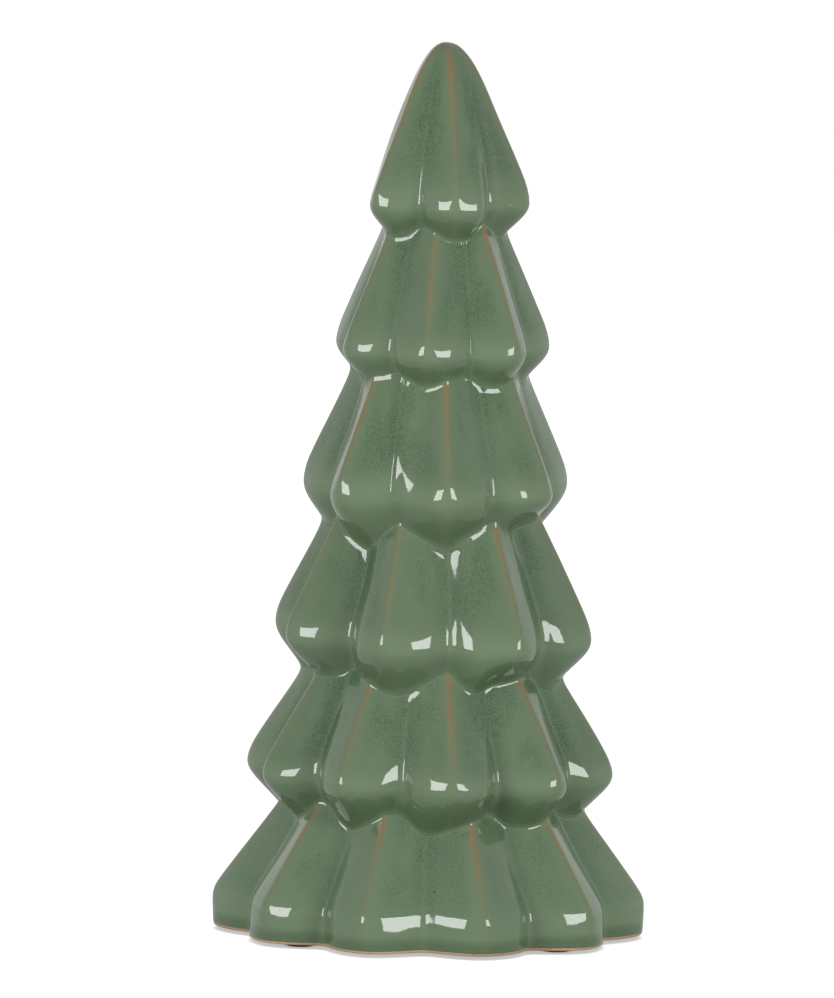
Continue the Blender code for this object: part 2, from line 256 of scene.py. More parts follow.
@dataclass
class Figure:
    """The tree's whole outside as a radius at any azimuth and height."""

    height: float
    foot_height: float
    tiers: tuple[Tier, ...]
    nose_radius: float = 0.0061
    nose_cone_start: float = 0.0261
    nose_cone_blend: float = 0.004
    nose_groove_share: float = 0.86
    nose_fade_start: float = 0.020
    nose_fade_length: float = 0.034
    groove_undercut_share: float = 0.8
    groove_rounding_share: float = 1.1
    groove_rounding: float = 0.0018
    floor_blend: float = 0.0003
    fold_crease_width: float = 0.0008
    band_flare: float = 0.01
    band_rounding: float = 0.0010
    ridge_rounding: float = 0.0009
    rim_ridge_rounding: float = 0.0075
    ridge_share_of_rounder: float = 0.7
    melt_reach: float = 0.009
    crest_lift: float = 0.6
    belly_growth: float = 1.5
    belly_skew: float = 3.2
    top_fill: float = 0.12
    top_fill_start: float = 0.36
    top_fill_length: float = 0.44
    crease_fill: float = 0.0011
    crease_fill_limit: float = 0.25
    crease_fill_change: float = 0.9
    crease_fill_scale: float = 26.0
    crease_halvings: int = 30
    wander_angle: float = 1.1
    wander_scale: float = 22.0
    swell: float = 0.00035
    swell_scale: float = 38.0
    swell_start: float = 0.03

    def rim_profile(self, height: float, rim_radius: float, rim_height: float, flare: float,
                    undercut: float, rounding: float) -> float:
        """Radius of a tier at a height: a cone above, an undercut below and a round rim between.

        Args:
            height: Height of the point.
            rim_radius: Greatest radius, at the rim.
            rim_height: Height of the rim.
            flare: How fast the cone above the rim widens on the way down.
            undercut: How fast the underside narrows on the way down.
            rounding: Size of the round rim between them.

        Returns:
            The radius at that height, which may be negative far from the rim.
        """
        spread = (flare + undercut) / 2.0
        skew = (undercut - flare) / 2.0
        steepness = math.sqrt(flare * undercut)
        corner_radius = rim_radius + rounding * steepness / spread
        above = height - rim_height + skew * rounding / (spread * steepness)
        return smooth_min(corner_radius - flare * above, corner_radius + undercut * above, rounding)

    def banded_profile(self, tier: Tier, height: float, rim_radius: float, band: float,
                       flare: float) -> float:
        """Radius of a tier whose rim is a nearly upright band.

        Args:
            tier: The tier.
            height: Height of the point.
            rim_radius: Greatest radius, near the band's lower edge.
            band: How far the band reaches above that.
            flare: How fast the cone above the band widens on the way down.

        Returns:
            The radius at that height.
        """
        hem = self.rim_profile(height, rim_radius, tier.rim_height, self.band_flare, tier.undercut,
                               tier.rounding)
        cone = rim_radius - flare * (height - tier.rim_height - band)
        return smooth_min(cone, hem, self.band_rounding)

    def nose_profile(self, height: float, tier: Tier) -> float:
        """Radius of the top tier at a height: a rounded point that opens into a cone.

        Args:
            height: Height of the point.
            tier: The top tier.

        Returns:
            The radius of its ridges, but for the rim.
        """
        depth = max(self.height - height, 0.0)
        cone = smooth_max(depth - self.nose_cone_start, 0.0, self.nose_cone_blend)
        return math.sqrt(2.0 * self.nose_radius * depth) + tier.flare * cone

    def nose_radii(self, tier: Tier, height: float, rim_height: float, undercut: float,
                   rounding: float) -> tuple[float, float]:
        """Radii of the top tier's ridges and grooves at a height.

        Args:
            tier: The top tier.
            height: Height of the point.
            rim_height: Height of the rim there.
            undercut: How fast the underside narrows there.
            rounding: Size of the grooves' round rim.

        Returns:
            The radius of the ridges and that of the grooves.
        """
        nose = self.nose_profile(height, tier)
        fade = ease((self.height - height - self.nose_fade_start) / self.nose_fade_length)
        rim_share = tier.groove_radius / tier.rim_radius
        share = self.nose_groove_share + (rim_share - self.nose_groove_share) * fade
        above = height - rim_height + tier.rounding
        ridge_under = tier.rim_radius + undercut * above
        groove_undercut = undercut * self.groove_undercut_share
        groove_under = tier.groove_radius + groove_undercut * (above - tier.groove_lift)
        return (smooth_min(nose, ridge_under, min(tier.rounding, nose / 2.0)),
                smooth_min(nose * share, groove_under, min(rounding, nose * share / 2.0)))

    def ridge_and_groove(self, number: int, azimuth: float, height: float,
                         change: Change) -> tuple[float, float]:
        """Radii of a tier's ridges and grooves at a height.

        Args:
            number: The tier, from 0 at the top.
            azimuth: Azimuth in degrees.
            height: Height of the point.
            change: What the tier's folds change there.

        Returns:
            The radius of the ridges and that of the grooves, which is never the greater.
        """
        tier = self.tiers[number]
        rim_height = tier.rim_height_at(azimuth)
        undercut = tier.undercut + change.tucked
        rounding = tier.rounding * self.groove_rounding_share + change.rounder
        if number == 0:
            ridge, groove = self.nose_radii(tier, height, rim_height, undercut, rounding)
        elif tier.band > 0.0:
            ridge = self.banded_profile(tier, height, tier.rim_radius, tier.band, tier.flare)
            groove = self.banded_profile(tier, height, tier.groove_radius, tier.band + tier.groove_lift,
                                         tier.groove_flare)
        else:
            ridge = self.rim_profile(height, tier.rim_radius, rim_height, tier.flare, undercut,
                                     tier.rounding + change.rounder * self.ridge_share_of_rounder)
            groove = self.rim_profile(height, tier.groove_radius, rim_height + tier.groove_lift,
                                      tier.groove_flare, undercut * self.groove_undercut_share, rounding)
        ridge = max(ridge, TINY)
        groove += change.shallower * ridge / tier.rim_radius
        if number > 0:
            groove += (ridge - groove) * self.top_fill * self.near_top(number, height)
        return ridge, min(max(groove, TINY), ridge)

    def near_top(self, number: int, height: float) -> float:
        """How near a height is to the top of a tier's faces.

        Args:
            number: The tier, from 1 for the one below the top.
            height: Height of the point.

        Returns:
            The nearness from 0 to 1.
        """
        low = self.tiers[number].rim_height
        share = (height - low) / (self.tiers[number - 1].rim_height - low)
        return ease((share - self.top_fill_start) / self.top_fill_length)

    def belly(self, number: int, change: Change, ridge: float, height: float) -> float:
        """How far a tier's faces bulge at a height, which is most at the rim.

        Args:
            number: The tier, from 0 at the top.
            change: What the tier's folds change there.
            ridge: Radius of the tier's ridges at that height.
            height: Height of the point.

        Returns:
            The bulge of a face in its middle.
        """
        tier = self.tiers[number]
        top = self.tiers[number - 1].rim_height if number > 0 else self.height
        share = min(max((top - height) / (top - tier.rim_height - tier.band), 0.0), 1.0)
        return (tier.belly + change.fuller) * share ** self.belly_growth * ridge / tier.rim_radius

    def tier_radius(self, number: int, azimuth: float, height: float) -> float:
        """Radius of one tier: each lobe is two bellied faces that meet in a rounded ridge.

        Args:
            number: The tier, from 0 at the top.
            azimuth: Azimuth in degrees.
            height: Height of the point.

        Returns:
            The radius there.
        """
        tier = self.tiers[number]
        change = tier.change_at(azimuth)
        ridge, groove = self.ridge_and_groove(number, azimuth, height, change)
        offset, half_lobe = tier.place_in_lobe(azimuth)
        full = math.radians(half_lobe)
        melted = ease((tier.rim_height + self.melt_reach - height) / (2.0 * self.melt_reach))
        rounding = self.ridge_rounding + (self.rim_ridge_rounding - self.ridge_rounding) * melted
        crest = min(rounding / tier.rim_radius, full / 2.0)
        angle = math.hypot(math.radians(offset), crest)
        from_groove = (full - angle) * tier.rim_radius
        angle = full - math.hypot(max(full - angle, 0.0), self.groove_rounding / tier.rim_radius)
        angle = min(max(angle, 0.0), full)
        belly = self.belly(number, change, ridge, height)
        lift = self.crest_lift * (ridge / self.face_radius(ridge, groove, crest, full, belly) - 1.0)
        share = (full - angle) / (full - crest)
        radius = self.face_radius(ridge, groove, angle, full, belly) * (1.0 + lift * share)
        if change.filled > 0.0:
            radius = smooth_max(radius, groove + change.filled, self.floor_blend)
        if change.creased > 0.0:
            radius -= change.creased * math.exp(-(from_groove / self.fold_crease_width) ** 2)
        return radius

    def face_radius(self, ridge: float, groove: float, angle: float, full: float,
                    belly: float) -> float:
        """Radius of a bellied face at an angle from its ridge.

        Args:
            ridge: Radius of the ridge.
            groove: Radius of the groove.
            angle: Angle from the ridge in radians.
            full: Angle from the ridge to the groove in radians.
            belly: How far the face bulges.

        Returns:
            The radius there.
        """
        across = ridge * math.sin(angle) + groove * math.sin(full - angle)
        share = angle / full
        # About 1 at its highest, whatever the skew
        bulge = 4.0 * share * (1.0 - share ** self.belly_skew) / math.sqrt(self.belly_skew)
        return ridge * groove * math.sin(full) / across + bulge * belly

    def crease_height(self, number: int, azimuth: float) -> float:
        """Height at which the underside of a tier meets the faces of the tier below it.

        Args:
            number: The upper tier, from 0 at the top.
            azimuth: Azimuth in degrees.

        Returns:
            The height, found by halving.
        """
        high = self.tiers[number].rim_height_at(azimuth)
        low = self.tiers[number + 1].rim_height_at(azimuth)
        for _ in range(self.crease_halvings):
            middle = (high + low) / 2.0
            if self.tier_radius(number, azimuth, middle) > self.tier_radius(number + 1, azimuth, middle):
                high = middle
            else:
                low = middle
        return (high + low) / 2.0

    def radius(self, number: int, azimuth: float, height: float) -> float:
        """Radius of the outside on a tier, with the glaze that pools in the creases.

        Args:
            number: The tier that the point lies on, from 0 at the top.
            azimuth: Azimuth of the point in degrees.
            height: Height of the point.

        Returns:
            The radius there.
        """
        radius = self.tier_radius(number, azimuth, height)
        turn = math.radians(azimuth)
        spot = Vector((math.sin(turn) * radius, math.cos(turn) * radius, height)) * self.crease_fill_scale
        fill = self.crease_fill * (1.0 + self.crease_fill_change * noise.noise(spot))
        if number > 0:
            above = self.tier_radius(number - 1, azimuth, height)
            radius = smooth_max(radius, above, fill)
        if number + 1 < len(self.tiers):
            below = self.tier_radius(number + 1, azimuth, height)
            radius = smooth_max(radius, below, min(fill, radius * self.crease_fill_limit))
        return radius

    def point(self, number: int, azimuth: float, height: float) -> Point:
        """A point of the outside, with the wander and swell of a casting finished by hand.

        Args:
            number: The tier that the point lies on, from 0 at the top.
            azimuth: Azimuth of the point in degrees.
            height: Height of the point.

        Returns:
            The point in the frame's own axes.
        """
        turn = math.radians(azimuth)
        radius = self.radius(number, azimuth, height)
        spot = Vector((math.sin(turn), -math.cos(turn), 0.0)) * radius
        spot.z = height
        free = ease((self.height - height) / self.swell_start)
        wander = noise.noise(spot * self.wander_scale) * self.wander_angle * free
        radius += noise.noise(spot * self.swell_scale) * self.swell * free
        turn += math.radians(wander)
        return radius * math.sin(turn), -radius * math.cos(turn), height + self.foot_height

    def columns(self, tier: Tier, count: int, crowding: float) -> list[float]:
        """Azimuths of a skin's columns on one tier, with a column on each ridge and groove.

        Args:
            tier: The tier.
            count: Number of columns in the full turn.
            crowding: From 0 to 1, how much the columns crowd towards ridges and grooves.

        Returns:
            One azimuth in degrees for each column.
        """
        pitch = FULL_TURN / count
        pinned: dict[int, float] = {}
        for azimuth in tier.ordered + tier.grooves:
            turned = azimuth % FULL_TURN
            column = round(turned / pitch)
            pinned[column % count] = turned - (FULL_TURN if column == count else 0.0)
        pins = sorted(pinned)
        azimuths = [0.0] * count
        for index, column in enumerate(pins):
            last = index + 1 == len(pins)
            end = pins[0] + count if last else pins[index + 1]
            end_azimuth = pinned[pins[0]] + FULL_TURN if last else pinned[pins[index + 1]]
            for step in range(end - column):
                share = step / (end - column)
                share += crowding * (ease(share) - share)
                azimuths[(column + step) % count] = (
                    pinned[column] + share * (end_azimuth - pinned[column]))
        return azimuths


@dataclass(frozen=True)
class Ring:
    """One ring of a skin: its tier, its place down the tier, and each column's azimuth and height."""

    number: int
    rise: float
    azimuths: list[float]
    heights: list[float]


@dataclass(kw_only=True)
class SkinMesher:
    """Grows a skin over the figure, from the point of its nose down to the glaze line."""

    figure: Figure
    glaze_line: float
    columns: int
    crowding: float
    nose_rows: int
    face_rows: int
    rim_rows: int
    underside_rows: int
    nose_crowding: float = 1.7
    face_crowding: float = 1.3
    rim_reach: float = 0.24
    line_wobble: float = 0.0003
    line_waves: float = 3.0

    def shares(self, number: int) -> list[float]:
        """Shares of the way from a tier's top to its rim, crowded towards both ends.

        Args:
            number: The tier, from 0 at the top.

        Returns:
            One share for each ring, up to and with 1 at the rim.
        """
        if number == 0:
            return [part ** self.nose_crowding for part in parts(self.nose_rows)]
        start = 1.0 - self.rim_reach
        face = [start * part ** self.face_crowding for part in parts(self.face_rows)]
        return face + [start + self.rim_reach * part for part in parts(self.rim_rows)]

    def line_height(self, azimuth: float) -> float:
        """Height of the glaze's lower edge, which wanders a little round the foot.

        Args:
            azimuth: Azimuth in degrees.

        Returns:
            The height there.
        """
        turn = math.radians(azimuth)
        spot = Vector((math.sin(turn), math.cos(turn), 0.0)) * self.line_waves
        return self.glaze_line + self.line_wobble * noise.noise(spot)

    def face_rings(self, number: int, azimuths: list[float], tops: list[float]) -> list[Ring]:
        """Rings down the faces of a tier, from its top to its rim.

        Args:
            number: The tier, from 0 at the top.
            azimuths: Azimuth of each column.
            tops: Height of the tier's top in each column.

        Returns:
            The rings, top to bottom.
        """
        rims = [self.figure.tiers[number].rim_height_at(azimuth) for azimuth in azimuths]
        return [Ring(number, share, azimuths, between(tops, rims, share))
                for share in self.shares(number)]

    def underside_rings(self, number: int, azimuths: list[float], lower: list[float]) -> list[Ring]:
        """Rings from a tier's rim to the crease below it, or to the glaze line under the last tier.

        Args:
            number: The tier, from 0 at the top.
            azimuths: Azimuths of its columns at the rim.
            lower: Azimuths that the columns reach at the end.

        Returns:
            The rings, top to bottom.
        """
        tier = self.figure.tiers[number]
        last = number + 1 == len(self.figure.tiers)
        rings = []
        for share in parts(self.underside_rows):
            moved = [start + share * turn_between(start, end) for start, end in zip(azimuths, lower)]
            rims = [tier.rim_height_at(azimuth) for azimuth in moved]
            ends = [self.line_height(azimuth) if last else self.figure.crease_height(number, azimuth)
                    for azimuth in moved]
            rings.append(Ring(number, 1.0 + share, moved, between(rims, ends, share)))
        return rings

    def rings(self) -> list[Ring]:
        """Work out all rings of the skin.

        Returns:
            The rings, top to bottom.
        """
        figure = self.figure
        rings: list[Ring] = []
        tops = [figure.height] * self.columns
        azimuths = figure.columns(figure.tiers[0], self.columns, self.crowding)
        for number in range(len(figure.tiers)):
            below = figure.tiers[min(number + 1, len(figure.tiers) - 1)]
            lower = figure.columns(below, self.columns, self.crowding)
            rings += self.face_rings(number, azimuths, tops)
            rings += self.underside_rings(number, azimuths, lower)
            azimuths = lower
            tops = rings[-1].heights
        return rings

    def grow(self, shape: bmesh.types.BMesh) -> list[bmesh.types.BMVert]:
        """Add the skin to a bmesh: a fan at the point, extruded down ring by ring.

        Args:
            shape: The bmesh to add the skin to.

        Returns:
            The points of the new skin.
        """
        column_of = layer(shape.verts.layers.int, "column")
        marks = {mark: layer(shape.verts.layers.float, mark.value) for mark in Mark}
        verts = bmesh.ops.create_circle(shape, cap_ends=True, cap_tris=True, segments=self.columns,
                                        radius=1.0)["verts"]
        first, *following = self.rings()
        for vert in verts:
            if vert.co.length < TINY:
                vert.co = (0.0, 0.0, self.figure.height + self.figure.foot_height)
            else:
                azimuth = math.degrees(math.atan2(vert.co.x, -vert.co.y)) % FULL_TURN
                vert[column_of] = round(azimuth * self.columns / FULL_TURN) % self.columns
                self.place(vert, first, vert[column_of], marks)
        border = border_edges(verts)
        for ring in following:
            fresh, border = extruded(shape, border)
            for vert in fresh:
                self.place(vert, ring, vert[column_of], marks)
            verts += fresh
        return verts

    def place(self, vert: bmesh.types.BMVert, ring: Ring, column: int, marks: dict[Mark, object]) -> None:
        """Put one point of the skin in its place on a ring, and note what lies there.

        Args:
            vert: The point.
            ring: Its ring.
            column: Its column.
            marks: The layers that take the notes.
        """
        azimuth = ring.azimuths[column]
        vert.co = self.figure.point(ring.number, azimuth, ring.heights[column])
        offset, half_lobe = self.figure.tiers[ring.number].place_in_lobe(azimuth)
        radius = math.hypot(vert.co.x, vert.co.y)
        vert[marks[Mark.RIDGE]] = math.radians(offset) * radius
        vert[marks[Mark.GROOVE]] = math.radians(half_lobe - offset) * radius
        vert[marks[Mark.RISE]] = ring.rise


def layer(kind: object, name: str) -> object:
    """A custom layer of a bmesh by name, made if it isn't there."""
    found = kind.get(name)
    return found if found is not None else kind.new(name)


def sink(verts: Iterable[bmesh.types.BMVert], depth: float) -> None:
    """Move points of a skin inwards, square to its faces.

    Args:
        verts: The points.
        depth: How far they move.
    """
    shifts = [(vert, vert.normal * depth) for vert in verts]
    for vert, shift in shifts:
        vert.co -= shift


def border_edges(verts: list[bmesh.types.BMVert]) -> list[bmesh.types.BMEdge]:
    """Find the open edges that run between some points.

    Args:
        verts: The points.

    Returns:
        The edges.
    """
    chosen = set(verts)
    edges = dict.fromkeys(edge for vert in verts for edge in vert.link_edges)
    return [edge for edge in edges if edge.is_boundary and chosen.issuperset(edge.verts)]


def extruded(shape: bmesh.types.BMesh, border: list[bmesh.types.BMEdge]
             ) -> tuple[list[bmesh.types.BMVert], list[bmesh.types.BMEdge]]:
    """Extrude an open border, with its new points in the place of the old ones.

    Args:
        shape: The bmesh.
        border: The open edges to extrude.

    Returns:
        The new points and the new open border.
    """
    grown = bmesh.ops.extrude_edge_only(shape, edges=border)["geom"]
    verts = [item for item in grown if isinstance(item, bmesh.types.BMVert)]
    edges = [item for item in grown if isinstance(item, bmesh.types.BMEdge) and item.is_boundary]
    return verts, edges


def add_ring(shape: bmesh.types.BMesh, border: list[bmesh.types.BMEdge],
             move: Move) -> list[bmesh.types.BMEdge]:
    """Extrude an open border by one ring and move its points.

    Args:
        shape: The bmesh.
        border: The open edges to extrude.
        move: Gives the new place of a point from its old one.

    Returns:
        The new open border.
    """
    verts, edges = extruded(shape, border)
    for vert in verts:
        vert.co = move(tuple(vert.co))
    return edges


def inward(inset: float, height: Optional[float] = None, drop: float = 0.0) -> Move:
    """Make a move towards the axis.

    Args:
        inset: How far it goes towards the axis.
        height: The height that it goes to, if any.
        drop: How far it goes down where no height is given.

    Returns:
        The move.
    """
    def move(spot: Point) -> Point:
        """Give a point's new place."""
        radius = math.hypot(spot[0], spot[1])
        share = (radius - inset) / radius
        return spot[0] * share, spot[1] * share, spot[2] - drop if height is None else height
    return move


def onto_circle(radius: float, height: float) -> Move:
    """Make a move onto a circle about the axis.

    Args:
        radius: Radius of the circle.
        height: Height of the circle.

    Returns:
        The move.
    """
    def move(spot: Point) -> Point:
        """Give a point's new place."""
        share = radius / math.hypot(spot[0], spot[1])
        return spot[0] * share, spot[1] * share, height
    return move


def piece_from(shape: bmesh.types.BMesh, name: str, material: bpy.types.Material) -> bpy.types.Object:
    """Make a smooth-shaded object of a bmesh.

    Args:
        shape: The finished bmesh, which is freed.
        name: Name of the object.
        material: Its material.

    Returns:
        The object, linked to the scene.
    """
    mesh = bpy.data.meshes.new(name)
    shape.to_mesh(mesh)
    shape.free()
    mesh.shade_smooth()
    mesh.materials.append(material)
    piece = bpy.data.objects.new(name, mesh)
    bpy.context.scene.collection.objects.link(piece)
    return piece


class Flow:
    """A socket of a shader, on which sums are written as Python expressions."""

    def __init__(self, nodes: "ShaderNodes", socket: bpy.types.NodeSocket) -> None:
        """Wrap an output socket of the nodes."""
        self.nodes = nodes
        self.socket = socket

    def _maths(self, operation: str, *values: Union["Flow", float]) -> "Flow":
        """The result of a Math node on values and links."""
        return self.nodes.add("ShaderNodeMath", {"operation": operation}, dict(enumerate(values)))

    def __add__(self, other: Union["Flow", float]) -> "Flow":
        """This plus another."""
        return self._maths("ADD", self, other)

    def __sub__(self, other: Union["Flow", float]) -> "Flow":
        """This less another."""
        return self._maths("SUBTRACT", self, other)

    def __rsub__(self, other: float) -> "Flow":
        """A number less this."""
        return self._maths("SUBTRACT", other, self)

    def __mul__(self, other: Union["Flow", float]) -> "Flow":
        """This times another."""
        return self._maths("MULTIPLY", self, other)

    __radd__ = __add__
    __rmul__ = __mul__

    def band(self, low: float, high: float) -> "Flow":
        """A smooth step from 0 at one value to 1 at another."""
        return self.nodes.add("ShaderNodeMapRange", {"interpolation_type": "SMOOTHSTEP"},
                              {"Value": self, "From Min": low, "From Max": high})


Fed = Union[Flow, float, Point]


class ShaderNodes:
    """Builds nodes in a tree, and writes their links as expressions."""

    def __init__(self, tree: bpy.types.NodeTree) -> None:
        """Start on the tree of a material or a world."""
        self.tree = tree

    def feed(self, socket: bpy.types.NodeSocket, value: Fed) -> None:
        """Link a flow to an input socket, or set the socket's constant.

        Args:
            socket: The input socket.
            value: A flow, a number, a vector or a colour.
        """
        if isinstance(value, Flow):
            self.tree.links.new(value.socket, socket)
        else:
            socket.default_value = (*value, 1.0) if socket.type == "RGBA" else value

    def add(self, kind: str, settings: Optional[dict[str, object]] = None,
            inputs: Optional[dict[Union[int, str], Fed]] = None, output: Union[int, str] = 0) -> Flow:
        """Add one node.

        Args:
            kind: The node's type.
            settings: Its properties, which are set first.
            inputs: Values or links for its sockets, by name or number.
            output: The output socket to return, by name or number.

        Returns:
            That output.
        """
        node = self.tree.nodes.new(kind)
        for name, value in (settings or {}).items():
            setattr(node, name, value)
        for name, value in (inputs or {}).items():
            self.feed(node.inputs[name], value)
        return Flow(self, node.outputs[output])

    def mix(self, factor: Union[Flow, float], first: Union[Flow, Colour],
            second: Union[Flow, Colour]) -> Flow:
        """Mix two colours.

        Args:
            factor: Share of the second colour.
            first: First colour.
            second: Second colour.

        Returns:
            The mixed colour.
        """
        # Sockets 6 and 7 of the node take colours, and output 2 gives one
        inputs = {0: factor, 6: first, 7: second}
        return self.add("ShaderNodeMix", {"data_type": "RGBA"}, inputs, output=2)

    def place(self) -> Flow:
        """Object coordinates of the piece."""
        return self.add("ShaderNodeTexCoord", output="Object")

    def height(self, place: Flow) -> Flow:
        """Height of a place."""
        return self.add("ShaderNodeSeparateXYZ", inputs={0: place}, output="Z")

    def mark(self, mark: Mark) -> Flow:
        """One of the glaze's point attributes."""
        return self.add("ShaderNodeAttribute", {"attribute_name": mark.value}, output="Fac")

    def clouds(self, place: Flow, scale: float, detail: float = 3.0, roughness: float = 0.5) -> Flow:
        """Noise at a scale per metre."""
        return self.add("ShaderNodeTexNoise", {"noise_dimensions": "3D"},
                        {"Vector": place, "Scale": scale, "Detail": detail, "Roughness": roughness})

    def dots(self, place: Flow, scale: float) -> Flow:
        """Distance to the nearest of some scattered points."""
        return self.add("ShaderNodeTexVoronoi", {"feature": "F1"}, {"Vector": place, "Scale": scale})

    def bump(self, height: Flow, distance: float, below: Optional[Flow] = None) -> Flow:
        """Add a bump.

        Args:
            height: Its height as a share.
            distance: How high a whole share stands, in metres.
            below: Another bump that it sits on, if any.

        Returns:
            The bumped normal.
        """
        inputs = {"Height": height, "Distance": distance, "Strength": 1.0}
        if below is not None:
            inputs["Normal"] = below
        return self.add("ShaderNodeBump", inputs=inputs)

    def emission(self, strength: Union[Flow, float]) -> Flow:
        """White light of a strength."""
        return self.add("ShaderNodeEmission", inputs={"Strength": strength})

    def ray(self, kind: str) -> Flow:
        """1 for rays of one kind and 0 for others, by the name of the Light Path's output."""
        return self.add("ShaderNodeLightPath", output=f"Is {kind} Ray")

    def mirrors(self) -> Flow:
        """1 for rays that a glossy or clear surface sends on, and 0 for others."""
        return self.ray("Glossy") + self.ray("Transmission")


class MaterialNodes(ShaderNodes):
    """Builds one material's nodes round its Principled shader."""

    def __init__(self, name: str) -> None:
        """Start a material.

        Args:
            name: Its name.
        """
        self.material = bpy.data.materials.new(name)
        self.material.use_nodes = True
        super().__init__(self.material.node_tree)
        self.shader = self.tree.nodes["Principled BSDF"]

    def dress(self, **sockets: Fed) -> bpy.types.Material:
        """Feed the Principled shader.

        Args:
            **sockets: Values or links by socket name, with _ for a space.

        Returns:
            The material.
        """
        for name, value in sockets.items():
            self.feed(self.shader.inputs[name.replace("_", " ")], value)
        return self.material


@dataclass(frozen=True)
class GlazeFinish:
    """Celadon-green glass that thins to caramel brown on the ridges and pools, speckled, on the faces.

    Bands are the values between which a smooth step runs: of noise, of a distance from a ridge in metres,
    of a height, or of the place down a tier, which is 0 at its top, 1 at its rim and 2 in the crease.
    """

    thin_leaf: Colour = (0.118, 0.180, 0.098)
    leaf: Colour = (0.084, 0.148, 0.073)
    leaf_share: float = 0.8
    mottle_share: float = 0.5
    speck: Colour = (0.036, 0.092, 0.038)
    speck_noise: Band = (0.47, 0.60)
    speck_share: float = 0.12
    thick_speck_share: float = 0.75
    skirt_leaf: Colour = (0.150, 0.235, 0.130)
    skirt_height: Band = (0.012, 0.054)
    skirt_share: float = 0.34
    rim_leaf: Colour = (0.150, 0.215, 0.125)
    rim_start: Band = (0.74, 1.0)
    rim_end: Band = (1.0, 1.3)
    rim_share: float = 0.68
    # Painted shade: the tiers' undersides, from the rim down into the crease, are darkened as if in
    # shadow
    underside_painted_shade: Colour = (0.066, 0.110, 0.052)
    painted_shade_rise: Band = (1.05, 1.7)
    painted_shade_share: float = 0.60
    pool_start: float = 0.0010
    pool_end: float = 0.0060
    pool_share: float = 0.45
    thick_noise: Band = (0.36, 0.62)
    thick_share: float = 0.75
    thin_ridge: Band = (0.0016, 0.0056)
    thin_rim: Band = (0.60, 0.98)
    caramel: Colour = (0.172, 0.168, 0.080)
    break_reach: Band = (0.0004, 0.00216)
    break_wander: float = 0.00144
    break_fade: Band = (0.35, 1.0)
    break_fade_share: float = 0.8
    break_share: float = 0.45
    break_noise: Band = (0.3, 0.6)
    break_noise_share: float = 0.5
    rust: Colour = (0.250, 0.140, 0.045)
    rust_reach: Band = (0.0, 0.00128)
    rust_fade: Band = (0.05, 0.75)
    rust_noise: Band = (0.35, 0.60)
    rust_share: float = 0.75
    pinhole: Colour = (0.020, 0.024, 0.014)
    pinhole_scale: float = 42.0
    pinhole_edge: Band = (0.010, 0.020)
    pinhole_share: float = 0.85
    pinhole_depth: float = 0.0002
    run_stretch: Point = (1.0, 1.0, 0.35)
    cloud_scale: float = 62.0
    mottle_scale: float = 420.0
    speckle_scale: float = 1900.0
    gloss: float = 0.04
    speckle_gloss: float = 0.03
    orange_peel: float = 0.00007
    orange_peel_scale: float = 95.0
    index: float = 1.52

    def material(self) -> bpy.types.Material:
        """Build the finish.

        Returns:
            Its material.
        """
        nodes = MaterialNodes("celadon glaze")
        place = nodes.place()
        running = nodes.add("ShaderNodeVectorMath", {"operation": "MULTIPLY"},
                            {0: place, 1: self.run_stretch})
        clouds = nodes.clouds(running, self.cloud_scale, detail=4.0, roughness=0.55)
        mottle = nodes.clouds(place, self.mottle_scale, roughness=0.6) - NOISE_MIDDLE
        speckle = nodes.clouds(place, self.speckle_scale, detail=2.0, roughness=0.6)
        rise = nodes.mark(Mark.RISE)
        from_ridge = nodes.mark(Mark.RIDGE)
        thick = self.thickness(clouds, rise, from_ridge, nodes.mark(Mark.GROOVE))
        body = nodes.mix(thick * self.leaf_share + mottle * self.mottle_share, self.thin_leaf, self.leaf)
        specks = speckle.band(*self.speck_noise) * (thick * self.thick_speck_share + self.speck_share)
        body = nodes.mix(specks, body, self.speck)
        skirt = 1.0 - nodes.height(place).band(*self.skirt_height)
        body = nodes.mix(skirt * self.skirt_share, body, self.skirt_leaf)
        rim = rise.band(*self.rim_start) * (1.0 - rise.band(*self.rim_end))
        body = nodes.mix(rim * self.rim_share, body, self.rim_leaf)
        # Painted shade darkens each tier's underside, below its rim, as if it lay in shadow
        body = nodes.mix(rise.band(*self.painted_shade_rise) * self.painted_shade_share, body, self.underside_painted_shade)
        body = self.broken(body, clouds, mottle, rise, from_ridge)
        holes = 1.0 - nodes.dots(place, self.pinhole_scale).band(*self.pinhole_edge)
        body = nodes.mix(holes * self.pinhole_share, body, self.pinhole)
        peel = nodes.clouds(place, self.orange_peel_scale, detail=2.0)
        relief = nodes.bump(1.0 - holes, self.pinhole_depth, below=nodes.bump(peel, self.orange_peel))
        return nodes.dress(Base_Color=body, Roughness=self.gloss + speckle * self.speckle_gloss,
                           IOR=self.index, Normal=relief)

    def thickness(self, clouds: Flow, rise: Flow, from_ridge: Flow, from_groove: Flow) -> Flow:
        """How thick the glaze lies: thin on ridges and rims, thick down the faces beside the grooves.

        Args:
            clouds: Running noise.
            rise: Place down the tier.
            from_ridge: Distance to the nearest ridge.
            from_groove: Distance to the nearest groove.

        Returns:
            The thickness from 0 to 1.
        """
        off_pool = from_groove.band(self.pool_start, self.pool_end)
        pooled = from_groove.band(0.0, self.pool_start) * (1.0 - off_pool)
        laid = pooled * self.pool_share + clouds.band(*self.thick_noise) * self.thick_share
        return laid * from_ridge.band(*self.thin_ridge) * (1.0 - rise.band(*self.thin_rim))

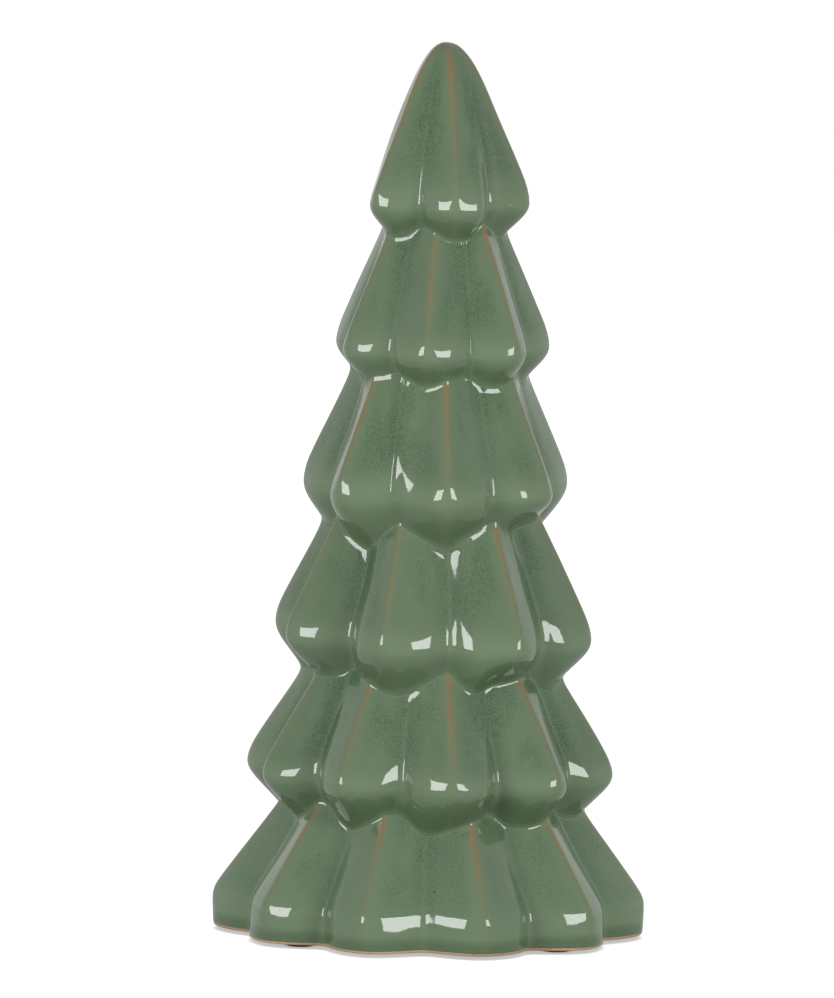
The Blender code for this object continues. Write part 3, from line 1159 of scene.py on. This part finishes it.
    def broken(self, body: Flow, clouds: Flow, mottle: Flow, rise: Flow, from_ridge: Flow) -> Flow:
        """Lay the brown break of the ridges over the green.

        Args:
            body: The green.
            clouds: Running noise.
            mottle: Finer noise about 0.
            rise: Place down the tier.
            from_ridge: Distance to the nearest ridge.

        Returns:
            The colour with the break.
        """
        near = from_ridge + mottle * self.break_wander
        rusted = (1.0 - near.band(*self.rust_reach)) * (1.0 - rise.band(*self.rust_fade))
        rusted = rusted * clouds.band(*self.rust_noise) * self.rust_share
        faded = rise.band(*self.break_fade) * self.break_fade_share
        worn = (1.0 - near.band(*self.break_reach)) * (1.0 - faded)
        worn = worn * (self.break_share + clouds.band(*self.break_noise) * self.break_noise_share)
        return body.nodes.mix(worn, body, body.nodes.mix(rusted, self.caramel, self.rust))


@dataclass(frozen=True)
class ClayFinish:
    """Bare fired stoneware: tan, matte and gritty."""

    tan: Colour = (0.52, 0.37, 0.23)
    toast: Colour = (0.38, 0.25, 0.14)
    toast_scale: float = 35.0
    toast_noise: Band = (0.3, 0.7)
    grog: Colour = (0.12, 0.08, 0.05)
    grog_scale: float = 420.0
    grog_edge: Band = (0.10, 0.22)
    grog_noise: Band = (0.45, 0.6)
    grog_share: float = 0.8
    grain_scale: float = 900.0
    grit: float = 0.0001
    roughness: float = 0.78
    grain_roughness: float = 0.15

    def material(self) -> bpy.types.Material:
        """Build the finish.

        Returns:
            Its material.
        """
        nodes = MaterialNodes("bare stoneware")
        place = nodes.place()
        patches = nodes.clouds(place, self.toast_scale)
        grain = nodes.clouds(place, self.grain_scale, detail=4.0)
        specks = 1.0 - nodes.dots(place, self.grog_scale).band(*self.grog_edge)
        body = nodes.mix(patches.band(*self.toast_noise), self.tan, self.toast)
        body = nodes.mix(specks * grain.band(*self.grog_noise) * self.grog_share, body, self.grog)
        return nodes.dress(Base_Color=body, Roughness=self.roughness + grain * self.grain_roughness,
                           Normal=nodes.bump(grain, self.grit))


@dataclass(frozen=True)
class FeltFinish:
    """Dense dark felt with loose fibres."""

    nap: Colour = (0.030, 0.026, 0.022)
    fibre: Colour = (0.085, 0.075, 0.062)
    fibre_scale: float = 2600.0
    fibre_noise: Band = (0.45, 0.7)
    fibres_per_tuft: float = 6.0
    tuft_share: float = 0.4
    relief: float = 0.0001
    roughness: float = 0.95
    sheen: float = 0.3

    def material(self) -> bpy.types.Material:
        """Build the finish.

        Returns:
            Its material.
        """
        nodes = MaterialNodes("felt")
        place = nodes.place()
        fibres = nodes.clouds(place, self.fibre_scale, detail=5.0, roughness=0.7)
        tufts = nodes.clouds(place, self.fibre_scale / self.fibres_per_tuft)
        nap = nodes.mix(fibres.band(*self.fibre_noise), self.nap, self.fibre)
        relief = nodes.bump(fibres * (1.0 - self.tuft_share) + tufts * self.tuft_share, self.relief)
        return nodes.dress(Base_Color=nap, Roughness=self.roughness, Sheen_Weight=self.sheen,
                           Normal=relief)


@dataclass
class GlazeCoat:
    """Fused glass skin of the figure: a fine outside, a plain inside and a rolled lower edge."""

    figure: Figure
    line: float
    thickness: float = 0.0008
    # Insets and drops by which the lower edge rolls under
    edge_roll: tuple[tuple[float, float], ...] = ((0.00012, 0.00022), (0.00038, 0.00032))
    finish: GlazeFinish = GlazeFinish()

    def build(self) -> bpy.types.Object:
        """Build the coat and put it in the place of its node.

        Returns:
            The coat.
        """
        shape = bmesh.new()
        outer = SkinMesher(figure=self.figure, glaze_line=self.line, columns=250, crowding=0.55,
                           nose_rows=34, face_rows=13, rim_rows=10, underside_rows=12).grow(shape)
        inner = SkinMesher(figure=self.figure, glaze_line=self.line, columns=84, crowding=0.0,
                           nose_rows=9, face_rows=4, rim_rows=3, underside_rows=3).grow(shape)
        bmesh.ops.recalc_face_normals(shape, faces=shape.faces[:])
        shape.normal_update()
        sink(inner, self.thickness)
        inner_set = set(inner)
        inner_faces = [face for face in shape.faces if face.verts[0] in inner_set]
        bmesh.ops.reverse_faces(shape, faces=inner_faces)
        edge = border_edges(outer)
        for inset, drop in self.edge_roll:
            edge = add_ring(shape, edge, inward(inset, drop=drop))
        bmesh.ops.bridge_loops(shape, edges=edge + border_edges(inner))
        bmesh.ops.recalc_face_normals(shape, faces=shape.faces[:])
        piece = piece_from(shape, "celadon_coat", self.finish.material())
        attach(piece, "root")
        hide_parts("glaze_coat")
        return piece


@dataclass
class ClayCasting:
    """Hollow clay casting: outside under the glaze, foot ring, recess, pour hole and hollow."""

    figure: Figure
    line: float
    depth: float = 0.0011
    # How far below the glaze's lower edge the clay comes out from under it
    line_gap: float = 0.0003
    foot_inset: float = 0.0002
    foot_edge: float = 0.0004
    ring_width: float = 0.0125
    recess_depth: float = 0.002
    base_thickness: float = 0.005
    hole_radius: float = 0.012
    wall: float = 0.0055
    edge_rounding: float = 0.0008
    sharp_angle: float = 60.0
    hollow_rows: int = 60
    samples: int = 36
    finish: ClayFinish = ClayFinish()

    def hollow_outline(self) -> list[tuple[float, float]]:
        """Trace the wall of the pour hole and the hollow.

        Returns:
            Radii and heights, from the pour hole to near the hollow's top.
        """
        figure = self.figure
        floor = self.recess_depth + self.base_thickness
        peak = figure.height - self.depth - 2.0 * self.wall
        outline = [(self.hole_radius, self.recess_depth + self.edge_rounding),
                   (self.hole_radius, floor - self.edge_rounding),
                   (self.hole_radius + self.edge_rounding, floor)]
        for row in range(self.hollow_rows):
            height = floor + (peak - floor) * row / self.hollow_rows
            number = max(index for index, tier in enumerate(figure.tiers)
                         if index == 0 or height < figure.tiers[index - 1].rim_height)
            nearest = min(figure.radius(number, FULL_TURN * step / self.samples, height)
                          for step in range(self.samples))
            dome = math.sqrt(2.0 * self.wall * (peak - height))
            outline.append((min(dome, nearest - self.depth - self.wall), height))
        return outline

    def build(self) -> bpy.types.Object:
        """Build the casting and put it in the place of its node.

        Returns:
            The casting.
        """
        foot = self.figure.foot_height
        shape = bmesh.new()
        skin = SkinMesher(figure=self.figure, glaze_line=self.line, columns=168, crowding=0.4,
                          nose_rows=12, face_rows=6, rim_rows=5, underside_rows=5).grow(shape)
        bmesh.ops.recalc_face_normals(shape, faces=shape.faces[:])
        shape.normal_update()
        border = border_edges(skin)
        kept = {vert: vert.co.copy() for edge in border for vert in edge.verts}
        sink(skin, self.depth)
        for vert, spot in kept.items():
            vert.co = inward(self.depth, spot.z)(tuple(spot))
        for inset, height in ((self.foot_inset - self.depth, self.line - self.line_gap),
                              (0.0, self.foot_edge), (self.foot_edge, 0.0)):
            border = add_ring(shape, border, inward(inset, foot + height))
        reach = min(math.hypot(*edge.verts[0].co.xy) for edge in border) - self.ring_width
        recess = [(reach + self.edge_rounding, 0.0), (reach, self.edge_rounding),
                  (reach - self.edge_rounding, self.recess_depth),
                  (self.hole_radius + self.edge_rounding, self.recess_depth)]
        for radius, height in recess + self.hollow_outline():
            border = add_ring(shape, border, onto_circle(radius, foot + height))
        cap = bmesh.ops.holes_fill(shape, edges=border, sides=0)["faces"]
        bmesh.ops.poke(shape, faces=cap)
        bmesh.ops.recalc_face_normals(shape, faces=shape.faces[:])
        piece = piece_from(shape, "stoneware_casting", self.finish.material())
        piece.data.set_sharp_from_angle(angle=math.radians(self.sharp_angle))
        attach(piece, "root")
        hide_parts("clay_body")
        return piece


@dataclass
class FeltPads:
    """Round felt pads stuck under the foot ring, each a little fluffy at the edge."""

    count: int = 4
    segments: int = 64
    edge_rounding: float = 0.00028
    edge_segments: int = 3
    cap_rings: int = 3
    cap_ring_share: float = 0.22
    fluff: float = 0.00007
    fluff_scale: float = 900.0
    fluffy_from: float = 0.9
    sharp_angle: float = 50.0
    finish: FeltFinish = FeltFinish()

    def build(self) -> list[bpy.types.Object]:
        """Build every pad in the place of its node."""
        material = self.finish.material()
        return [self.pad(number, material) for number in range(1, self.count + 1)]

    def pad(self, number: int, material: bpy.types.Material) -> bpy.types.Object:
        """Build one pad.

        Args:
            number: Number of the pad, from 1.
            material: The felt.

        Returns:
            The pad.
        """
        node = f"felt_pad_{number}"
        low, high = (Vector(corner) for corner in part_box(node))
        middle = (low + high) / 2.0
        radius = (high.x - low.x) / 2.0 - self.fluff
        shape = bmesh.new()
        bmesh.ops.create_cone(shape, cap_ends=True, cap_tris=False, segments=self.segments,
                              radius1=radius, radius2=radius, depth=high.z - low.z)
        rims = [edge for edge in shape.edges if abs(edge.verts[0].co.z - edge.verts[1].co.z) < TINY]
        bmesh.ops.bevel(shape, geom=rims, offset=self.edge_rounding, segments=self.edge_segments,
                        profile=0.5, affect="EDGES", material=-1)
        caps = [face for face in shape.faces if len(face.verts) == self.segments]
        for _ in range(self.cap_rings):
            bmesh.ops.inset_region(shape, faces=caps, thickness=radius * self.cap_ring_share)
        for vert in shape.verts:
            reach = math.hypot(vert.co.x, vert.co.y)
            if reach > radius * self.fluffy_from:
                puff = noise.noise((vert.co + middle) * self.fluff_scale) * self.fluff
                vert.co.x *= 1.0 + puff / reach
                vert.co.y *= 1.0 + puff / reach
        bmesh.ops.translate(shape, verts=shape.verts[:], vec=middle)
        piece = piece_from(shape, f"felt_disc_{number}", material)
        piece.data.set_sharp_from_angle(angle=math.radians(self.sharp_angle))
        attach(piece, "root")
        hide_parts(node)
        return piece


@dataclass(frozen=True)
class SoftBox:
    """A rectangular studio lamp that stands at an azimuth round the figure."""

    name: str
    azimuth: float
    elevation: float
    distance: float
    width: float
    height: float
    power: float
    mirrored: bool = True


@dataclass
class Studio:
    """Pale floor, white surroundings, soft boxes and the camera."""

    figure: Figure
    floor_size: float = 6.0
    floor_colour: Colour = (0.80, 0.80, 0.80)
    floor_roughness: float = 0.9
    catcher_colour: Colour = (0.30, 0.30, 0.30)
    floor_glow: float = 0.92
    # Reach of the painted contact shadow that darkens the floor's glow under the foot
    contact_reach: float = 0.0018
    contact_samples: int = 8
    mirrored_floor: float = 0.60
    mirrored_walls: float = 0.75
    ambient: float = 0.30
    lamps: tuple[SoftBox, ...] = (
        SoftBox("left_box", azimuth=-46.0, elevation=8.0, distance=1.5, width=0.60, height=0.60,
                power=11.5),
        SoftBox("right_box", azimuth=46.0, elevation=8.0, distance=1.5, width=0.60, height=0.60,
                power=11.5),
        SoftBox("back_fill", azimuth=180.0, elevation=24.0, distance=2.0, width=1.20, height=1.20,
                power=22.0, mirrored=False),
    )
    picture_width: int = 834
    picture_height: int = 998
    foot_pixel: tuple[float, float] = (428.0, 925.5)
    pixels_per_metre: float = 2980.0
    camera_elevation: float = 6.9
    camera_roll: float = 1.2
    camera_distance: float = 6.0
    nearest_seen: float = 0.1
    sensor: float = 36.0

    def build(self) -> None:
        """Set up everything round the figure."""
        self.floor()
        self.surroundings()
        for lamp in self.lamps:
            self.lamp(lamp)
        self.camera()

    def floor(self) -> None:
        """A pale floor, white to the camera but for the figure's soft shadow and a painted contact
        shadow.
        """
        shape = bmesh.new()
        bmesh.ops.create_grid(shape, x_segments=1, y_segments=1, size=self.floor_size / 2.0)
        nodes = MaterialNodes("pale floor")
        nodes.dress(Base_Color=self.floor_colour, Roughness=self.floor_roughness, Specular_IOR_Level=0.0)
        piece = piece_from(shape, "floor", nodes.material)
        # Painted contact shadow: ambient occlusion darkens the floor's glow under and just beside the
        # foot
        painted_shadow_mask = nodes.add("ShaderNodeAmbientOcclusion", {"samples": self.contact_samples},
                             {"Distance": self.contact_reach}, output="AO")
        catcher = nodes.add("ShaderNodeBsdfDiffuse", inputs={"Color": self.catcher_colour})
        seen = nodes.add("ShaderNodeAddShader", inputs={0: nodes.emission(painted_shadow_mask * self.floor_glow),
                                                        1: catcher})
        plain = Flow(nodes, nodes.shader.outputs["BSDF"])
        shown = nodes.add("ShaderNodeMixShader", inputs={0: nodes.mirrors(), 1: plain,
                                                         2: nodes.emission(self.mirrored_floor)})
        shown = nodes.add("ShaderNodeMixShader", inputs={0: nodes.ray("Camera"), 1: shown, 2: seen})
        nodes.feed(nodes.tree.nodes["Material Output"].inputs["Surface"], shown)

    def surroundings(self) -> None:
        """White walls for the camera and for reflections, and a plain level of light."""
        world = bpy.data.worlds.new("studio")
        bpy.context.scene.world = world
        world.use_nodes = True
        nodes = ShaderNodes(world.node_tree)
        background = nodes.tree.nodes["Background"]
        nodes.feed(background.inputs["Color"], (1.0, 1.0, 1.0))
        seen = nodes.ray("Camera") * (1.0 - self.ambient)
        mirrored = nodes.mirrors() * (self.mirrored_walls - self.ambient)
        nodes.feed(background.inputs["Strength"], seen + mirrored + self.ambient)

    def lamp(self, box: SoftBox) -> None:
        """Hang one soft box, aimed at the middle of the figure.

        Args:
            box: Its place, size and power.
        """
        light = bpy.data.lights.new(box.name, "AREA")
        light.shape = "RECTANGLE"
        light.size = box.width
        light.size_y = box.height
        light.energy = box.power
        lamp = bpy.data.objects.new(box.name, light)
        lamp.visible_glossy = box.mirrored
        bpy.context.scene.collection.objects.link(lamp)
        aim = Vector((0.0, 0.0, self.figure.height / 2.0))
        turn = math.radians(box.azimuth)
        lift = math.radians(box.elevation)
        away = Vector((math.sin(turn) * math.cos(lift), -math.cos(turn) * math.cos(lift), math.sin(lift)))
        lamp.location = aim + away * box.distance
        lamp.rotation_euler = away.to_track_quat("Z", "Y").to_euler()

    def camera(self) -> None:
        """A long lens a little above the figure, framed as the photograph is."""
        data = bpy.data.cameras.new("camera")
        camera = bpy.data.objects.new("camera", data)
        bpy.context.scene.collection.objects.link(camera)
        bpy.context.scene.camera = camera
        lift = math.radians(self.camera_elevation)
        roll = math.radians(self.camera_roll)
        right = Vector((1.0, 0.0, 0.0))
        upward = Vector((0.0, math.sin(lift), math.cos(lift)))
        toward = Vector((0.0, -math.cos(lift), math.sin(lift)))
        across = (self.picture_width / 2.0 - self.foot_pixel[0]) / self.pixels_per_metre
        over = (self.foot_pixel[1] - self.picture_height / 2.0) / self.pixels_per_metre
        shift_right = across * math.cos(roll) - over * math.sin(roll)
        shift_up = over * math.cos(roll) + across * math.sin(roll)
        foot = Vector((0.0, 0.0, self.figure.foot_height))
        aim = foot + right * shift_right + upward * shift_up
        turned_right = right * math.cos(roll) + upward * math.sin(roll)
        turned_up = upward * math.cos(roll) - right * math.sin(roll)
        frame = Matrix((turned_right, turned_up, toward)).transposed().to_4x4()
        frame.translation = aim + toward * self.camera_distance
        camera.matrix_world = frame
        seen_height = self.picture_height / self.pixels_per_metre
        data.sensor_fit = "AUTO"
        data.sensor_width = self.sensor
        data.lens = self.sensor * self.camera_distance / seen_height
        data.clip_start = self.nearest_seen
        data.clip_end = 2.0 * self.camera_distance + self.floor_size


TIERS = (
    Tier(rim_radius=0.0318, rim_height=0.2445, flare=0.220, undercut=1.25, rounding=0.0031,
         groove_radius=0.0222, groove_lift=0.0010, groove_flare=0.29, belly=0.0026,
         ridges=(9.3, 84.0, 153.0, 225.0, 307.0),
         folds=(Fold(azimuth=43.0, reach=30.0, shallower=0.0004, carries_groove=True),
                Fold(azimuth=24.0, reach=20.0, fuller=0.0030),
                Fold(azimuth=62.0, reach=20.0, fuller=-0.0022))),
    Tier(rim_radius=0.0375, rim_height=0.1957, flare=0.47, undercut=1.25, rounding=0.0032,
         groove_radius=0.0283, groove_lift=0.0015, groove_flare=0.33, belly=0.0020,
         ridges=even_ridges(7, -7.0),
         folds=(Fold(azimuth=20.8, reach=22.0, filled=0.0012, creased=0.0004, carries_groove=True),)),
    Tier(rim_radius=0.0461, rim_height=0.1484, flare=0.49, undercut=1.00, rounding=0.0040,
         groove_radius=0.0355, groove_lift=0.0015, groove_flare=0.37, belly=0.0018, dip=-0.0004,
         ridges=even_ridges(7, 4.4),
         folds=(Fold(azimuth=-24.4, reach=26.0, filled=0.0018, creased=0.0005, rounder=0.0034,
                     carries_groove=True),
                Fold(azimuth=-8.0, reach=15.0, fuller=-0.0012),
                Fold(azimuth=43.0, reach=16.0, fuller=0.0020),
                Fold(azimuth=56.0, reach=24.0, tucked=0.80))),
    Tier(rim_radius=0.0549, rim_height=0.0992, flare=0.53, undercut=1.00, rounding=0.0040,
         groove_radius=0.0424, groove_lift=0.0012, groove_flare=0.42, belly=0.0021, dip=0.0008,
         ridges=(-100.0, -66.0, -19.0, 33.0, 77.0, 122.0, 168.0, 212.5),
         folds=(Fold(azimuth=-66.0, reach=22.0, tucked=0.25),
                Fold(azimuth=33.0, reach=24.0, tucked=0.65),
                Fold(azimuth=77.0, reach=20.0, tucked=0.30),
                Fold(azimuth=-46.0, reach=18.0, shallower=-0.0034),
                Fold(azimuth=3.0, reach=14.0, shallower=-0.0008),
                Fold(azimuth=18.0, reach=12.0, rounder=0.0040, fuller=0.0012),
                Fold(azimuth=64.0, reach=16.0, rounder=0.0030, fuller=0.0012))),
    Tier(rim_radius=0.0631, rim_height=0.0534, flare=0.68, undercut=1.18, rounding=0.0040,
         groove_radius=0.0495, groove_lift=0.0020, groove_flare=0.45, belly=0.0028,
         ridges=(-96.0, -64.0, -29.0, 7.0, 43.0, 77.0, 115.0, 153.0, 191.0, 228.0),
         folds=(Fold(azimuth=-5.0, reach=14.0, rounder=0.0045),
                Fold(azimuth=16.0, reach=11.0, fuller=0.0014),
                Fold(azimuth=66.0, reach=12.0, fuller=0.0010))),
    Tier(rim_radius=0.0736, rim_height=0.0060, flare=0.76, undercut=0.60, rounding=0.0022,
         groove_radius=0.0635, groove_lift=0.0, groove_flare=0.64, belly=0.0024, band=0.0066,
         ridges=(-84.0, -50.0, -17.5, 15.5, 48.5, 82.0, 115.0, 148.0, 181.0, 213.5, 245.0),
         folds=(Fold(azimuth=-1.0, reach=18.0, shallower=-0.0013, fuller=-0.0012),
                Fold(azimuth=-10.0, reach=9.0, fuller=-0.0008),
                Fold(azimuth=8.0, reach=8.0, fuller=-0.0005),
                Fold(azimuth=-35.0, reach=16.0, shallower=-0.0016),
                Fold(azimuth=33.0, reach=16.0, shallower=-0.0016))),
)


def corners(box: Iterable[Iterable[float]]) -> list[list[float]]:
    """A box's two corners as plain lists."""
    return [[float(value) for value in corner] for corner in box]


def main() -> None:
    """Load the frame, dress every node, set up the studio and log each piece's face count."""
    logging.basicConfig(level=logging.INFO, format="%(name)s: %(message)s")
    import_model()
    bpy.context.scene.view_settings.view_transform = "Standard"
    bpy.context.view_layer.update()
    coat_box = corners(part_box("glaze_coat"))
    clay_box = corners(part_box("clay_body"))
    foot_height = clay_box[0][2]
    figure = Figure(height=coat_box[1][2] - foot_height - TIP_SINK, foot_height=foot_height, tiers=TIERS)
    line = coat_box[0][2] - foot_height
    pieces = [GlazeCoat(figure, line).build(), ClayCasting(figure, line).build(), *FeltPads().build()]
    for piece in pieces:
        LOG.info("%s: %d faces", piece.name, len(piece.data.polygons))
    Studio(figure).build()


if __name__ == "__main__":
    main()
